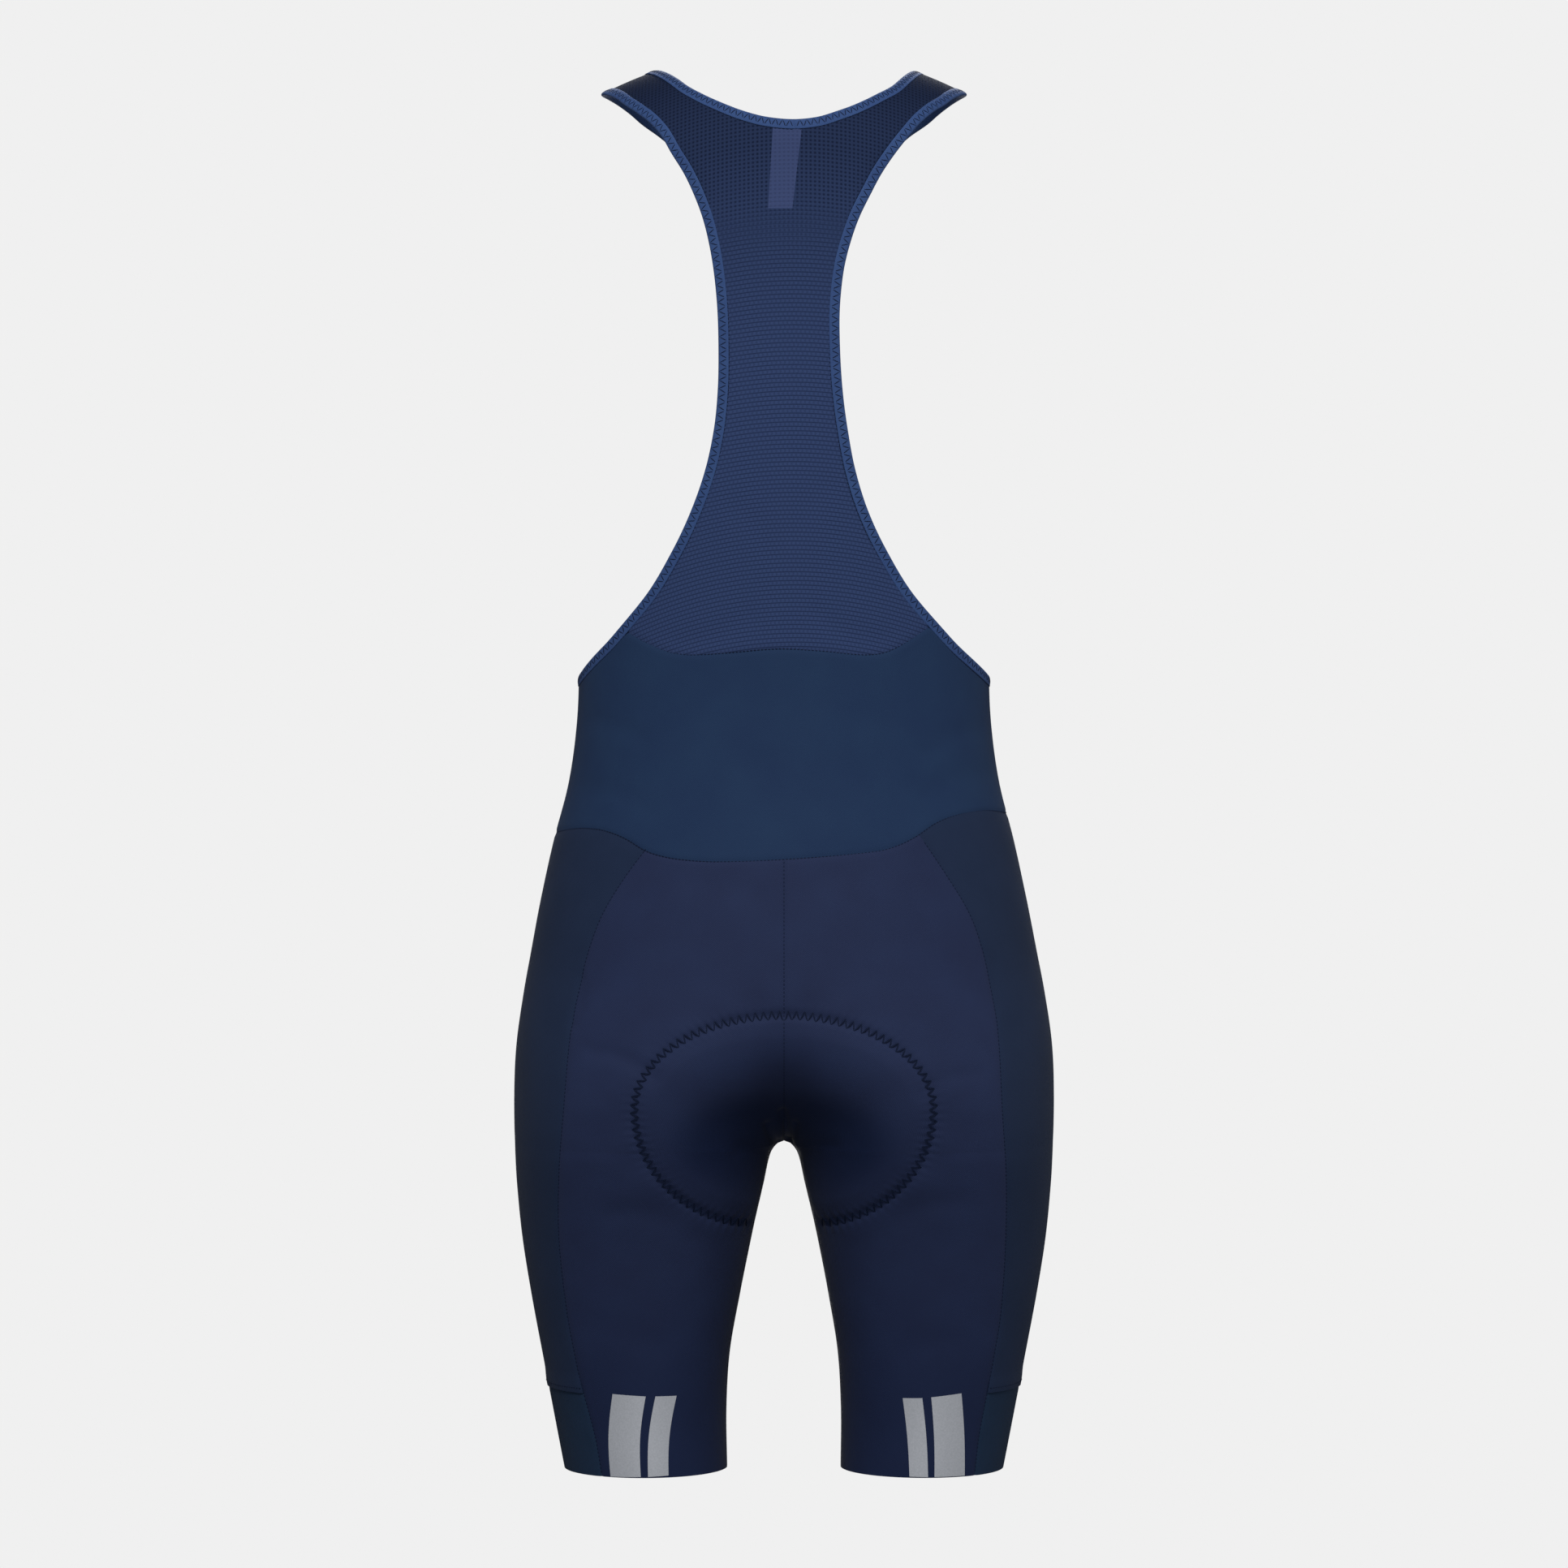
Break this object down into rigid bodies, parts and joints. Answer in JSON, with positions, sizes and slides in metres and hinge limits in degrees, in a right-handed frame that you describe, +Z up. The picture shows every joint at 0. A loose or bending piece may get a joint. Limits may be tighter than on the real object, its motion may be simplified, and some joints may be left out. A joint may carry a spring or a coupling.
{
  "type": "cycling bib shorts",
  "caption": "Close-fitting cycling bib shorts, hollow as worn, with a mesh back, two shoulder straps, a waist yoke, panelled legs and a seat pad.",
  "frame": {"origin": "midway between the inner ends of the two shoulder seams, level with them, where the wearer's shoulders carry the straps", "axes": "+Z up, +X towards the wearer's left, -Y towards the wearer's front"},
  "size_m": [0.3658, 0.2237, 0.9444],
  "materials": {
    "micro_mesh": "fine open micro-mesh knit",
    "yoke_knit": "smooth matt warp knit",
    "seat_knit": "dense stretch warp knit with a faint sheen",
    "side_knit": "dense stretch warp knit with a faint sheen",
    "gripper_knit": "dark power knit",
    "binding_elastic": "folded elastic with zigzag stitching",
    "label_tape": "smooth satin tape",
    "pad_foam": "brushed knit over foam",
    "reflective_film": "matt grey reflective print"
  },
  "bodies": {
    "root": {"back_mesh_panel": "micro_mesh", "back_yoke": "yoke_knit", "front_yoke": "yoke_knit", "front_strap_left": "micro_mesh", "front_strap_right": "micro_mesh", "seat_panel_left": "seat_knit", "seat_panel_right": "seat_knit", "front_panel_left": "seat_knit", "front_panel_right": "seat_knit", "side_panel_left": "side_knit", "side_panel_right": "side_knit", "leg_gripper_left": "gripper_knit", "leg_gripper_right": "gripper_knit", "armhole_binding_left": "binding_elastic", "armhole_binding_right": "binding_elastic", "neck_binding": "binding_elastic", "neck_label": "label_tape", "chamois_pad": "pad_foam"}
  },
  "joints": []
}
